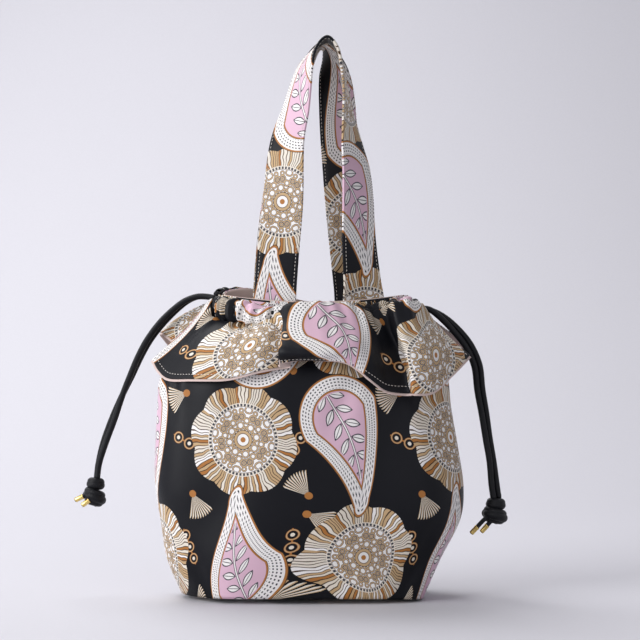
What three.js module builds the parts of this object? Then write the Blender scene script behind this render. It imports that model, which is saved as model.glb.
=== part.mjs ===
import * as THREE from "three";
import { LoftGeometry } from "three/addons/geometries/LoftGeometry.js";
import { mergeVertices } from "three/addons/utils/BufferGeometryUtils.js";

// A gathered drawstring tote of printed cloth. Millimetres, +Z up, the front faces -Y.
// Body of two panels on a flat base panel, loose lining bag inside, two lined collar panels
// that hang from the neck, two casings round the neck, two handles, two knotted drawcords.

// Cloth layers at the neck, from the inside out, with a clear gap between neighbours
const OUTER_CLOTH = 1.2;
const LINING_CLOTH = 0.8;
const LAYER_GAP = 0.6;

// Body outline by height: height, left edge, right edge, half depth, squareness of the section
const BODY_ROWS = [
  [0, -116, 100, 53, 4.5],
  [35, -129, 116, 61, 3.2],
  [70, -135, 134, 66, 2.6],
  [100, -140, 137, 67, 2.4],
  [135, -140, 132, 66, 2.3],
  [170, -138, 126, 64, 2.3],
  [195, -136, 123, 62, 2.3],
  [214, -127, 118, 56, 2.2],
  [229, -104, 103, 42, 2.1],
  [242, -82, 86, 28.5, 2],
  [252, -80, 84, 27, 2],
  [271, -80, 84, 27, 2],
];
const BASE_SHARE = 3 / 14;
const BODY_STEPS = 14;
const WALL_STEPS = 11;
const PANEL_COLUMNS = 18;
const SEAM_HALF_GAP = 0.2;

// Neck oval of the body's outer face, and the level where the collar leaves the neck
const NECK_X = 2;
const NECK_HALF_WIDTH = 82;
const NECK_HALF_DEPTH = 27;
const NECK_TOP = 271;
const CASING_FOOT = 249.5;
const COLLAR_FOOT = 248;
const COLLAR_NECK_SHARE = 0.25;
const COLLAR_OFFSET = OUTER_CLOTH + LINING_CLOTH + 3 * LAYER_GAP;
const COLLAR_COLUMNS = 24;
const COLLAR_ROWS = 8;
const COLLAR_SWEEP = 84;

// Front collar from its left end to its right end: upper drop, lower drop, hem
const FRONT_COLLAR = [
  [[-109, -11, 243], [-125, -15, 228], [-141, -18, 212]],
  [[-103, -26, 235], [-115, -34, 217], [-124, -38, 200]],
  [[-82, -40, 233], [-92, -52, 215], [-98, -56, 197]],
  [[-56, -48, 237], [-62, -62, 220], [-66, -67, 198]],
  [[-26, -55, 241], [-27, -74, 228], [-28, -74, 207]],
  [[5, -58, 243], [7, -79, 231], [8, -77, 214]],
  [[32, -55, 242], [36, -77, 228], [38, -76, 209]],
  [[55, -41, 234], [62, -55, 214], [66, -66, 190]],
  [[82, -46, 237], [93, -65, 213], [99, -67, 183]],
  [[102, -31, 240], [114, -45, 218], [120, -48, 193]],
  [[111, -10, 245], [126, -15, 231], [142, -20, 216]],
];
const FRONT_END_FEET = [258, 257];

// Back collar, also from the left end to the right end as seen from the front
const BACK_COLLAR = [
  [[-100, -2, 251], [-108, -6, 246], [-116, -9, 240]],
  [[-107, 14, 248], [-122, 18, 240], [-134, 21, 230]],
  [[-84, 40, 233], [-95, 54, 215], [-103, 58, 197]],
  [[-57, 48, 237], [-64, 64, 219], [-68, 69, 198]],
  [[-27, 55, 240], [-28, 72, 223], [-29, 76, 204]],
  [[3, 56, 241], [3, 75, 224], [3, 79, 205]],
  [[30, 55, 240], [33, 72, 223], [35, 76, 204]],
  [[58, 48, 237], [66, 64, 218], [71, 69, 198]],
  [[84, 38, 235], [96, 53, 214], [104, 57, 196]],
  [[104, 24, 240], [118, 33, 223], [129, 37, 207]],
  [[113, 9, 246], [127, 13, 236], [140, 17, 226]],
];
const BACK_END_FEET = [258, 254];

// Casing tube: clear of the collar, hollow, open at both ends
const CASING_OFFSET = COLLAR_OFFSET + 5.4;
const CASING_HALF_THICK = 4.8;
const CASING_HALF_TALL = 11;
const CASING_WALL = 1;
const CASING_MIDDLE = CASING_FOOT + CASING_HALF_TALL;
const CASING_SWEEP = 70;
const CASING_STEPS = 20;
const CASING_SIDES = 10;
const CASING_SQUARENESS = 3.5;

// Handles: strap section and centreline, one row each: x, y, z, turn of the strap's width
const STRAP_WIDTH = 38;
const STRAP_THICK = 3;
const STRAP_STEPS = 56;
const FRONT_HANDLE = [
  [-33, -15.5, 238, -9], [-32, -16.5, 269, -9], [-29, -18, 310, -12], [-25, -20, 352, -19],
  [-21.6, -20, 403, -36], [-13.5, -20, 436, -50], [-5.4, -20, 472, -67], [4.5, -20, 490.5, -84],
  [15, -20, 498, -90], [24, -20, 488, -91], [28, -20, 471, -93], [31.5, -20, 449, -98],
  [34, -20, 425.7, -108], [37, -20, 403, -120], [40.5, -20, 381, -130], [42, -19, 356, -136],
  [43, -17.5, 318, -142], [46, -15.5, 281, -152], [47, -14.5, 266, -165], [48, -13, 238, -167],
];
const BACK_HANDLE = [
  [-35, 15.5, 238, 9], [-34, 16.5, 269, 9], [-31.5, 19, 310, 16], [-28, 21, 352, 28],
  [-22, 21, 400, 44], [-15, 21, 440, 58], [-6, 21, 472, 72], [-1, 21, 485, 80],
  [6, 21, 496, 88], [12, 21, 497, 96], [17, 21, 488, 112], [20.5, 21, 472, 134],
  [23, 21, 452, 146], [25, 21, 422, 152], [28, 21, 390, 158], [31, 20, 356, 162],
  [35, 18, 318, 166], [39, 16, 281, 168], [40, 15, 266, 169], [41, 13.5, 238, 169],
];

// Drawcords: each leaves one side as a pair of strands; pair middle as x, z and turn of the pair
const CORD_RADIUS = 2.75;
const CORD_SIDES = 8;
const CORD_STEPS = 80;
const PAIR_HALF_GAP = 3;
const LEFT_LEVEL = 266;
const RIGHT_LEVEL = 256.5;
const LOOP_RISE = 4;
const LOOP_REACH = 94;
// Bearings round the neck at which a cord runs through the front casing; the back casing's are opposite
const RUN_BEARINGS = [206, 225, 247, 270, 293, 315, 334];
const LEFT_PAIR = [
  [-192.6, 107, 80], [-190.8, 120, 78], [-185.8, 138, 64], [-177.7, 160, 62], [-169.6, 181, 84],
  [-161.6, 199, 102], [-154, 216, 109], [-145, 232, 112], [-132, 248.4, 114], [-116, 263, 104],
];
const RIGHT_PAIR = [
  [166.5, 88, 144], [164.7, 101, 146], [162.5, 121, 132], [158.9, 142.6, 133], [155.7, 164, 140],
  [152, 185.4, 147], [149.4, 207, 149], [142, 224.4, 149], [131, 238.5, 142], [119, 250, 120],
];
const LEFT_EXIT = [[-104, 4.2, 269], [-94.5, 5.4, 269.5], [-86, 8.2, 268]];
const RIGHT_EXIT = [[107, 4.2, 257.5], [98.5, 5.4, 258.5], [90, 8.2, 257.5]];

// Knots, cord ends and metal tips
const KNOT_PROFILE = [
  [0, 0], [4.6, -0.4], [7.2, -3], [7.6, -6.5], [6.6, -9.4], [9.2, -11.5], [10, -15.5], [8.6, -20],
  [5, -23], [0, -23.6],
];
const KNOT_SIDES = 16;
const LEFT_KNOT_TOP = [-192.7, 0, 104];
const RIGHT_KNOT_TOP = [166.6, 0, 85];
const END_RADIUS = 1.6;
const TIP_BEYOND_END = 2;
const TIP_PROFILE = [
  [0, 0], [1.6, 0], [2.2, 0.5], [2.35, 7.5], [1.9, 7.5], [1.9, 1.6], [0, 1.6],
];
const TIP_SIDES = 12;
// Each cord end: where it leaves the knot, and the far end of its tip
const LEFT_ENDS = [[[-203.6, -3.6, 91], [-211.6, -4.8, 86.6]], [[-201.3, -9.6, 85.2], [-206.5, -8.5, 81]]];
const RIGHT_ENDS = [[[155.2, -4.4, 69], [143.6, -6.2, 57]], [[160.2, -8, 64.4], [152.8, -5.6, 58.2]]];

const COLOURS = { print: 0x1b1c23, lining: 0xcdb0aa, cord: 0x14151a, brass: 0xc9a24c };

// A smooth run through a row of numbers, read from 0 to 1
function along(values) {
  const curve = new THREE.SplineCurve(values.map((value) => new THREE.Vector2(value, 0)));
  return (t) => curve.getPoint(t).x;
}

function smoothCurve(points) {
  return new THREE.CatmullRomCurve3(points, false, "catmullrom", 0.5);
}

// Every solid faces out
function facingOut(geometry) {
  const bare = new THREE.BufferGeometry();
  bare.setAttribute("position", geometry.getAttribute("position"));
  bare.setIndex(geometry.index);
  const solid = mergeVertices(bare, 1e-4);
  const position = solid.getAttribute("position");
  const corner = [new THREE.Vector3(), new THREE.Vector3(), new THREE.Vector3()];
  const index = solid.index.array;
  let volume = 0;
  for (let i = 0; i < index.length; i += 3) {
    corner.forEach((point, k) => point.fromBufferAttribute(position, index[i + k]));
    volume += corner[0].dot(corner[1].cross(corner[2]));
  }
  if (volume < 0) {
    for (let i = 0; i < index.length; i += 3) {
      [index[i], index[i + 1]] = [index[i + 1], index[i]];
    }
  }
  solid.computeVertexNormals();
  return solid;
}

// A cloth layer between two grids of points; wrapped layers close on themselves sideways,
// and a zipped one closes on itself along its first row
function layer(outer, inner, { wrapped = false, zipped = false } = {}) {
  const rows = outer.length;
  const columns = outer[0].length;
  const at = (side, i, j) => (side * rows + i) * columns + j;
  const index = [];
  const quad = (a, b, c, d) => index.push(a, b, c, a, c, d);
  const top = rows - 1;
  const last = columns - 1;
  for (let i = 0; i < top; i += 1) {
    for (let j = 0; j < last; j += 1) {
      quad(at(0, i, j), at(0, i, j + 1), at(0, i + 1, j + 1), at(0, i + 1, j));
      quad(at(1, i, j), at(1, i + 1, j), at(1, i + 1, j + 1), at(1, i, j + 1));
    }
    if (!wrapped) {
      quad(at(0, i, 0), at(0, i + 1, 0), at(1, i + 1, 0), at(1, i, 0));
      quad(at(0, i, last), at(1, i, last), at(1, i + 1, last), at(0, i + 1, last));
    }
  }
  for (let j = 0; j < last; j += 1) {
    if (!zipped) {
      quad(at(0, 0, j), at(1, 0, j), at(1, 0, j + 1), at(0, 0, j + 1));
    }
    quad(at(0, top, j), at(0, top, j + 1), at(1, top, j + 1), at(1, top, j));
  }
  const geometry = new THREE.BufferGeometry().setFromPoints([...outer.flat(), ...inner.flat()]);
  geometry.setIndex(index);
  return facingOut(geometry);
}

function grid(rows, columns, point) {
  const line = (i) => Array.from({ length: columns + 1 }, (_, j) => point(i / rows, j / columns));
  return Array.from({ length: rows + 1 }, (_, i) => line(i));
}

// Body surface: from the middle seam of the base out to the base edge, then up the wall
const bodyHeight = along(BODY_ROWS.map((row) => row[0]));
const bodyLeft = along(BODY_ROWS.map((row) => row[1]));
const bodyRight = along(BODY_ROWS.map((row) => row[2]));
const bodyDepth = along(BODY_ROWS.map((row) => row[3]));
const bodySquareness = along(BODY_ROWS.map((row) => row[4]));

function rounded(value, squareness) {
  return Math.sign(value) * Math.abs(value) ** (2 / squareness);
}

function bodyPoint(run, angle, inset) {
  const onBase = run < BASE_SHARE;
  const t = onBase ? 0 : (run - BASE_SHARE) / (1 - BASE_SHARE);
  const left = bodyLeft(t) + inset;
  const right = bodyRight(t) - inset;
  const depth = bodyDepth(t) - inset;
  const middle = (left + right) / 2;
  const half = (right - left) / 2;
  const x = middle + half * rounded(Math.cos(angle), bodySquareness(t));
  const y = depth * rounded(Math.sin(angle), bodySquareness(t));
  const rim = new THREE.Vector3(x, y, Math.max(bodyHeight(t), inset));
  const spine = new THREE.Vector3(middle + (half - depth) * Math.cos(angle), 0, inset);
  return onBase ? spine.lerp(rim, run / BASE_SHARE) : rim;
}

// Front or back panel, from the base edge up to the neck
function bodyPanel(side) {
  const face = (inset) => grid(WALL_STEPS, PANEL_COLUMNS, (up, across) => {
    const run = THREE.MathUtils.lerp(BASE_SHARE, 1, up);
    const point = bodyPoint(run, side * Math.PI * (1 - across), inset);
    point.y = side * Math.max(side * point.y, SEAM_HALF_GAP);
    return point;
  });
  return layer(face(0), face(OUTER_CLOTH));
}

// Flat base, set in just clear of the panels' lower edges
function basePanel() {
  const outline = Array.from({ length: 2 * PANEL_COLUMNS }, (_, k) => {
    const edge = bodyPoint(BASE_SHARE, (Math.PI * k) / PANEL_COLUMNS, OUTER_CLOTH + SEAM_HALF_GAP);
    return new THREE.Vector2(edge.x, edge.y);
  });
  const options = { depth: OUTER_CLOTH, bevelEnabled: false };
  return facingOut(new THREE.ExtrudeGeometry(new THREE.Shape(outline), options));
}

function liningBag() {
  const outside = OUTER_CLOTH + LAYER_GAP;
  const face = (inset) => grid(BODY_STEPS, 2 * PANEL_COLUMNS, (run, around) => {
    return bodyPoint(run, 2 * Math.PI * around, inset);
  });
  return layer(face(outside), face(outside + LINING_CLOTH), { wrapped: true, zipped: true });
}

// Oval round the neck, offset from the body; the angle runs from the right end to the back
function neckPoint(degrees, offset, z) {
  const angle = THREE.MathUtils.degToRad(degrees);
  const x = NECK_X + (NECK_HALF_WIDTH + offset) * Math.cos(angle);
  return new THREE.Vector3(x, (NECK_HALF_DEPTH + offset) * Math.sin(angle), z);
}

// Collar surface: straight down the neck behind the casing, then a smooth net out to the hem;
// at its two ends the collar leaves the neck higher up
function collarFace(net, endFeet, side, inset) {
  const ends = net.length - 1;
  const bearing = (across) => side * (90 + COLLAR_SWEEP - 2 * COLLAR_SWEEP * across);
  const feet = along(net.map((_, k) => (k === 0 ? endFeet[0] : k === ends ? endFeet[1] : COLLAR_FOOT)));
  const columns = net.map((drops, k) => {
    const foot = neckPoint(bearing(k / ends), COLLAR_OFFSET, feet(k / ends));
    return smoothCurve([foot, ...drops.map((drop) => new THREE.Vector3(...drop))]);
  });
  const surface = (down, across) => {
    const flare = (down - COLLAR_NECK_SHARE) / (1 - COLLAR_NECK_SHARE);
    if (flare <= 0) {
      const level = THREE.MathUtils.lerp(NECK_TOP, feet(across), down / COLLAR_NECK_SHARE);
      return neckPoint(bearing(across), COLLAR_OFFSET, level);
    }
    return smoothCurve(columns.map((column) => column.getPoint(flare))).getPoint(across);
  };
  return grid(COLLAR_ROWS, COLLAR_COLUMNS, (down, across) => {
    const step = 0.01;
    const point = surface(down, across);
    const [d0, d1] = [Math.max(down - step, 0), Math.min(down + step, 1)];
    const [a0, a1] = [Math.max(across - step, 0), Math.min(across + step, 1)];
    const fall = surface(d1, across).sub(surface(d0, across));
    const width = surface(down, a1).sub(surface(down, a0));
    const inward = width.cross(fall).normalize().multiplyScalar(-side);
    return point.addScaledVector(inward, inset);
  });
}

function collar(net, endFeet, side, inset, thick) {
  const face = (depth) => collarFace(net, endFeet, side, depth);
  return layer(face(inset), face(inset + thick));
}

// Casing tube round half of the neck
function casing(side) {
  const skin = (inset) => grid(CASING_STEPS, CASING_SIDES, (run, around) => {
    const degrees = side * (90 + CASING_SWEEP - 2 * CASING_SWEEP * run);
    const turn = 2 * Math.PI * around;
    const out = (CASING_HALF_THICK - inset) * rounded(Math.cos(turn), CASING_SQUARENESS);
    const up = (CASING_HALF_TALL - inset) * rounded(Math.sin(turn), CASING_SQUARENESS);
    return neckPoint(degrees, CASING_OFFSET + out, CASING_MIDDLE + up);
  });
  return layer(skin(0), skin(CASING_WALL), { wrapped: true });
}

// Strap swept along its centreline with a given turn of its width
function strap(stations) {
  const path = smoothCurve(stations.map(([x, y, z]) => new THREE.Vector3(x, y, z)));
  const turn = along(stations.map((station) => station[3]));
  const sections = [];
  for (let i = 0; i <= STRAP_STEPS; i += 1) {
    const t = i / STRAP_STEPS;
    const middle = path.getPoint(t);
    const tangent = path.getTangent(t);
    const angle = THREE.MathUtils.degToRad(turn(t));
    const width = new THREE.Vector3(Math.cos(angle), Math.sin(angle), 0);
    width.addScaledVector(tangent, -width.dot(tangent)).normalize();
    const face = tangent.clone().cross(width);
    const corner = (across, out) => middle.clone()
      .addScaledVector(width, (across * STRAP_WIDTH) / 2)
      .addScaledVector(face, (out * STRAP_THICK) / 2);
    sections.push([corner(-1, -1), corner(1, -1), corner(1, 1), corner(-1, 1)]);
  }
  return facingOut(new LoftGeometry(sections, { capStart: true, capEnd: true }));
}

function tube(points, radius, steps) {
  const circle = new THREE.Shape();
  for (let k = 0; k < CORD_SIDES; k += 1) {
    const angle = (2 * Math.PI * k) / CORD_SIDES;
    circle[k === 0 ? "moveTo" : "lineTo"](radius * Math.cos(angle), radius * Math.sin(angle));
  }
  circle.closePath();
  const extrudePath = smoothCurve(points);
  return facingOut(new THREE.ExtrudeGeometry(circle, { steps, bevelEnabled: false, extrudePath }));
}

// One strand of a hanging pair, from the knot up to the mouth of the casing
function strand(pair, exit, side) {
  const middles = pair.map(([x, z]) => new THREE.Vector3(x, 0, z));
  const path = smoothCurve(middles);
  const hung = pair.map(([, , turn], k) => {
    const tangent = path.getTangent(k / (pair.length - 1));
    const angle = THREE.MathUtils.degToRad(turn);
    const across = new THREE.Vector3(-tangent.z, 0, tangent.x).multiplyScalar(Math.cos(angle));
    across.y = Math.sin(angle);
    return middles[k].clone().addScaledVector(across, side * PAIR_HALF_GAP);
  });
  exit.forEach(([x, y, z]) => hung.push(new THREE.Vector3(x, side * y, z)));
  return hung;
}

// A whole drawcord: down the front strand's way, round the neck in both casings, back out
function drawcord(pair, exit, level, side) {
  const inCasing = (degrees) => neckPoint(degrees, CASING_OFFSET, level);
  const front = side > 0 ? [...RUN_BEARINGS].reverse() : RUN_BEARINGS;
  const back = front.map((degrees) => degrees - 180);
  const loopX = NECK_X - side * LOOP_REACH;
  return tube([
    ...strand(pair, exit, -1),
    ...front.map(inCasing),
    new THREE.Vector3(loopX, 0, level + LOOP_RISE),
    ...back.map(inCasing),
    ...strand(pair, exit, 1).reverse(),
  ], CORD_RADIUS, CORD_STEPS);
}

function turned(profile, sides) {
  const outline = profile.map(([r, h]) => new THREE.Vector2(r, h));
  return facingOut(new THREE.LatheGeometry(outline, sides).rotateX(Math.PI / 2));
}

const bag = new THREE.Group();

function add(name, geometry, colour, metalness = 0, roughness = 0.7) {
  const material = new THREE.MeshStandardMaterial({ color: colour, metalness, roughness });
  const mesh = new THREE.Mesh(geometry, material);
  mesh.name = name;
  bag.add(mesh);
  return mesh;
}

add("outer_front", bodyPanel(-1), COLOURS.print);
add("outer_back", bodyPanel(1), COLOURS.print);
add("outer_base", basePanel(), COLOURS.print);
add("lining_bag", liningBag(), COLOURS.lining);

const collarLining = (net, endFeet, side) => {
  return collar(net, endFeet, side, OUTER_CLOTH + LAYER_GAP, LINING_CLOTH);
};
add("collar_front", collar(FRONT_COLLAR, FRONT_END_FEET, -1, 0, OUTER_CLOTH), COLOURS.print);
add("collar_back", collar(BACK_COLLAR, BACK_END_FEET, 1, 0, OUTER_CLOTH), COLOURS.print);
add("collar_front_lining", collarLining(FRONT_COLLAR, FRONT_END_FEET, -1), COLOURS.lining);
add("collar_back_lining", collarLining(BACK_COLLAR, BACK_END_FEET, 1), COLOURS.lining);

add("casing_front", casing(-1), COLOURS.print);
add("casing_back", casing(1), COLOURS.print);
add("handle_front", strap(FRONT_HANDLE), COLOURS.print);
add("handle_back", strap(BACK_HANDLE), COLOURS.print);

add("drawcord_left", drawcord(LEFT_PAIR, LEFT_EXIT, LEFT_LEVEL, -1), COLOURS.cord);
add("drawcord_right", drawcord(RIGHT_PAIR, RIGHT_EXIT, RIGHT_LEVEL, 1), COLOURS.cord);

function knotWithEnds(side, knotTop, ends) {
  const knot = add(`knot_${side}`, turned(KNOT_PROFILE, KNOT_SIDES), COLOURS.cord);
  knot.position.set(...knotTop);
  ends.forEach(([start, finish], k) => {
    const from = new THREE.Vector3(...start);
    const tipEnd = new THREE.Vector3(...finish);
    const way = tipEnd.clone().sub(from).normalize();
    const to = tipEnd.clone().addScaledVector(way, -TIP_BEYOND_END);
    const middle = from.clone().lerp(to, 0.5);
    add(`cord_end_${side}_${k + 1}`, tube([from, middle, to], END_RADIUS, 2), COLOURS.cord);
    const tip = add(`cord_tip_${side}_${k + 1}`, turned(TIP_PROFILE, TIP_SIDES), COLOURS.brass, 1, 0.3);
    tip.position.copy(tipEnd);
    tip.quaternion.setFromUnitVectors(new THREE.Vector3(0, 0, -1), way);
  });
}

knotWithEnds("left", LEFT_KNOT_TOP, LEFT_ENDS);
knotWithEnds("right", RIGHT_KNOT_TOP, RIGHT_ENDS);

export default bag;
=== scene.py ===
import math

import bmesh
import bpy
import numpy as np
from mathutils import Matrix, Vector


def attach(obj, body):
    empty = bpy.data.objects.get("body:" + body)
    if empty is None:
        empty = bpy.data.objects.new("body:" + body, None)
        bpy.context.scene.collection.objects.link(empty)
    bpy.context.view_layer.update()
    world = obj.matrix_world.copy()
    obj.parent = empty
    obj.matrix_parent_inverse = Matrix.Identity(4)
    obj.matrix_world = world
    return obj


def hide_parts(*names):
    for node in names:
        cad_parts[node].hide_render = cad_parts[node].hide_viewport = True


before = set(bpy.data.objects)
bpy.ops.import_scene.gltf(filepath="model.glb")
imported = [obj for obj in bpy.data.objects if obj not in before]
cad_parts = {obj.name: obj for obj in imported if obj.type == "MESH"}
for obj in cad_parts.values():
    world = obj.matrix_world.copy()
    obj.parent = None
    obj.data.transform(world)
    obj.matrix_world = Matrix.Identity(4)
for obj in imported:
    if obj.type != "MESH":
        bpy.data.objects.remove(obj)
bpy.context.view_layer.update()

# Camera: level with the neck of the bag, 1.7 m in front of it, a long lens as for a product picture.
# 640 pixels across cover 576 mm at the middle of the bag.
CAMERA_DISTANCE = 1.7
VIEW_WIDTH = 0.576
CAMERA_ASIDE = 0.0081
CAMERA_HEIGHT = 0.2484
SENSOR = 36.0
camera_data = bpy.data.cameras.new("camera")
camera_data.sensor_width = SENSOR
camera_data.lens = SENSOR * CAMERA_DISTANCE / VIEW_WIDTH
camera = bpy.data.objects.new("camera", camera_data)
camera.location = (CAMERA_ASIDE, -CAMERA_DISTANCE, CAMERA_HEIGHT)
camera.rotation_euler = (math.radians(90), 0, 0)
bpy.context.scene.collection.objects.link(camera)
bpy.context.scene.camera = camera


# Drawcords: two lengths of round black polyester cord, each threaded through both casings so that
# both its ends hang out of one side of the neck as a pair of strands.
MM = 0.001
CORD_RADIUS = 2.75
PAIR_HALF_GAP = 3
# Middle of each hanging pair from the knot up: x, z, and how far its two strands are turned about each other
LEFT_PAIR = [
    (-192.6, 107, 80), (-190.8, 120, 78), (-185.8, 138, 64), (-177.7, 160, 62), (-169.6, 181, 84),
    (-161.6, 199, 102), (-154, 216, 109), (-145, 232, 112), (-132, 248.4, 114), (-116, 263, 104),
]
RIGHT_PAIR = [
    (166.5, 88, 144), (164.7, 101, 146), (162.5, 121, 132), (158.9, 142.6, 133), (155.7, 164, 140),
    (152, 185.4, 147), (149.4, 207, 149), (142, 224.4, 149), (131, 238.5, 142), (119, 250, 120),
]
# The last stretch into the mouths of the casings: x, distance of each strand from the middle, z
LEFT_EXIT = [(-104, 4.2, 269), (-94.5, 5.4, 269.5), (-86, 8.2, 268)]
RIGHT_EXIT = [(107, 4.2, 257.5), (98.5, 5.4, 258.5), (90, 8.2, 257.5)]
# Steps between two points of a run before it is spaced evenly; a direction that no cord starts in
FINE_STEPS = 40
ASKEW = (0.3, 0.9, 0.2)


def run_through(values, t):
    """Smooth run through given values, read at t from 0 to 1."""
    rows = np.asarray(values, float)
    last = len(rows) - 1
    padded = np.concatenate([[2 * rows[0] - rows[1]], rows, [2 * rows[-1] - rows[-2]]])
    place = np.asarray(t, float) * last
    k = np.clip(place.astype(int), 0, last - 1)
    f = (place - k).reshape(place.shape + (1,) * (rows.ndim - 1))
    a, b, c, d = padded[k], padded[k + 1], padded[k + 2], padded[k + 3]
    bent = (2 * a - 5 * b + 4 * c - d) * f**2 + (3 * b - a - 3 * c + d) * f**3
    return 0.5 * (2 * b + (c - a) * f + bent)


def along_length(line):
    """Distance along a line of points, starting at 0."""
    steps = np.linalg.norm(np.diff(line, axis=0), axis=1)
    return np.concatenate([[0], np.cumsum(steps)])


def even_run(points, count):
    """Evenly spaced points on the smooth run through a list of points."""
    fine = run_through(points, np.linspace(0, 1, FINE_STEPS * len(points)))
    gone = along_length(fine)
    even = np.linspace(0, gone[-1], count + 1)
    return np.stack([np.interp(even, gone, fine[:, k]) for k in range(3)], axis=1)


def strand_points(pair, way_out, side):
    """One strand of a hanging pair, from the mouth of the casing down to the knot."""
    pair = np.asarray(pair, float)
    middle = np.stack([pair[:, 0], np.zeros(len(pair)), pair[:, 1]], axis=1)
    tangent = np.gradient(middle, axis=0)
    tangent /= np.linalg.norm(tangent, axis=1)[:, None]
    turn = np.radians(pair[:, 2])
    across = np.stack([-tangent[:, 2] * np.cos(turn), np.sin(turn), tangent[:, 0] * np.cos(turn)], axis=1)
    hung = list(middle + side * PAIR_HALF_GAP * across)
    hung += [np.array([x, side * y, z]) for x, y, z in way_out]
    return np.array(hung[::-1])


def tube_grid(line, radius, sides):
    """Points round a line, and their place on the flat skin: round it and along it."""
    tangent = np.gradient(line, axis=0)
    tangent /= np.linalg.norm(tangent, axis=1)[:, None]
    turn = np.linspace(0, 2 * math.pi, sides + 1)
    out = np.cross(tangent[0], ASKEW)
    rings = []
    for middle, way in zip(line, tangent):
        out = out - way * out.dot(way)
        out /= np.linalg.norm(out)
        beside = np.cross(way, out)
        rings.append(middle + radius * (np.cos(turn)[:, None] * out + np.sin(turn)[:, None] * beside))
    skin = np.stack(np.broadcast_arrays(turn[None, :] * radius, along_length(line)[:, None]), axis=2)
    return np.array(rings), skin


def lay_grid(bm, points, skin):
    """Adds a grid of faces, moved to its points; its UV map is the flat skin. Both are in millimetres."""
    rows, columns = points.shape[0] - 1, points.shape[1] - 1
    flat = bm.loops.layers.uv.verify()
    made = bmesh.ops.create_grid(bm, x_segments=columns, y_segments=rows, size=0.5)["verts"]
    spots = {v: (round((v.co.y + 0.5) * rows), round((v.co.x + 0.5) * columns)) for v in made}
    for vert, spot in spots.items():
        vert.co = points[spot] * MM
        for loop in vert.link_loops:
            loop[flat].uv = skin[spot] * MM
            loop.face.smooth = True


def make_piece(name, bm, material, closed=False):
    """Turns a bmesh into a piece that rides with the bag."""
    bmesh.ops.remove_doubles(bm, verts=bm.verts, dist=1e-6)
    if closed:
        bmesh.ops.holes_fill(bm, edges=[e for e in bm.edges if e.is_boundary])
    mesh = bpy.data.meshes.new(name)
    bm.to_mesh(mesh)
    bm.free()
    mesh.materials.append(material)
    piece = bpy.data.objects.new(name, mesh)
    bpy.context.scene.collection.objects.link(piece)
    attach(piece, "root")
    return piece


def linear(colour):
    """sRGB hex to linear RGBA."""
    parts = [int(colour[k:k + 2], 16) / 255 for k in (1, 3, 5)]
    return [c / 12.92 if c <= 0.04045 else ((c + 0.055) / 1.055) ** 2.4 for c in parts] + [1.0]


def node(tree, kind, inputs=None, stops=None, **settings):
    """Adds a node with its settings, links and, on a ramp, its colour stops."""
    made = tree.nodes.new("ShaderNode" + kind)
    for name, value in settings.items():
        setattr(made, name, value)
    for socket, value in (inputs or {}).items():
        if isinstance(value, bpy.types.Node):
            value = value.outputs[0]
        if isinstance(value, bpy.types.NodeSocket):
            tree.links.new(value, made.inputs[socket])
        else:
            made.inputs[socket].default_value = value
    if stops:
        ramp = made.color_ramp
        ramp.interpolation = "CONSTANT"
        while len(ramp.elements) < len(stops):
            ramp.elements.new(0.5)
        for element, (place, colour) in zip(ramp.elements, stops):
            element.position = place
            element.color = linear(colour)
    return made


def new_material(name):
    """An empty material with its output; returns the material, its tree and its shader."""
    material = bpy.data.materials.new(name)
    material.use_nodes = True
    material.node_tree.nodes.clear()
    shader = node(material.node_tree, "BsdfPrincipled")
    node(material.node_tree, "OutputMaterial", {"Surface": shader})
    return material, material.node_tree, shader


# Knitted polyester cord: deep black, smooth and slightly shiny, with fine slanted ribs 0.9 mm apart.
cord_cloth, tree, shader = new_material("polyester_cord")
CORD_RIB = 0.0009
RIB_SLANT = 62
# Scale of a wave texture whose bands are one unit apart
WAVE_SCALE = 0.314
skin = node(tree, "UVMap")
slant = node(tree, "Mapping", {"Vector": skin, "Rotation": (0, 0, math.radians(RIB_SLANT))})
ribs = node(tree, "TexWave", {
    "Vector": slant, "Scale": WAVE_SCALE / CORD_RIB, "Distortion": 0.6, "Detail": 1.0})
# Painted shade: the colour follows the ribs, a deeper black in the grooves between them and a lighter black
# on their crests.
tone = node(tree, "MixRGB", {0: ribs.outputs["Fac"], 1: linear("#050609"), 2: linear("#0d0e14")})
raised = node(tree, "Bump", {"Strength": 0.5, "Distance": 0.0003, "Height": ribs.outputs["Fac"]})
tree.links.new(tone.outputs[0], shader.inputs["Base Color"])
tree.links.new(raised.outputs[0], shader.inputs["Normal"])
shader.inputs["Roughness"].default_value = 0.42
shader.inputs["Specular IOR Level"].default_value = 0.2
shader.inputs["Sheen Weight"].default_value = 0.02
shader.inputs["Sheen Roughness"].default_value = 0.5

STRAND_STEPS = 150
CORD_SIDES = 20
strands = {}
strand_paths = {}
for side_name, pair, way_out in (("left", LEFT_PAIR, LEFT_EXIT), ("right", RIGHT_PAIR, RIGHT_EXIT)):
    for face_name, side in (("front", -1), ("back", 1)):
        path = even_run(strand_points(pair, way_out, side), STRAND_STEPS)
        bm = bmesh.new()
        lay_grid(bm, *tube_grid(path, CORD_RADIUS, CORD_SIDES))
        strand = make_piece(f"drawcord_{side_name}_{face_name}_strand", bm, cord_cloth, closed=True)
        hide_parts(f"drawcord_{side_name}")
        strands[side_name, face_name] = strand
        strand_paths[side_name, face_name] = path * MM

# Inside the casings each cord goes on round the neck, and turns from the front casing to the back one
# across the far side of the neck.
NECK_X = 2
NECK_HALF_WIDTH = 82
NECK_HALF_DEPTH = 27
CASING_OFFSET = 9.2
RUN_LEVELS = {"left": 265, "right": 256.5}
RUN_BEARINGS = [206, 225, 247, 270, 293, 315, 334]
RUN_STEPS = 180
LOOP_REACH = 92
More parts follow.
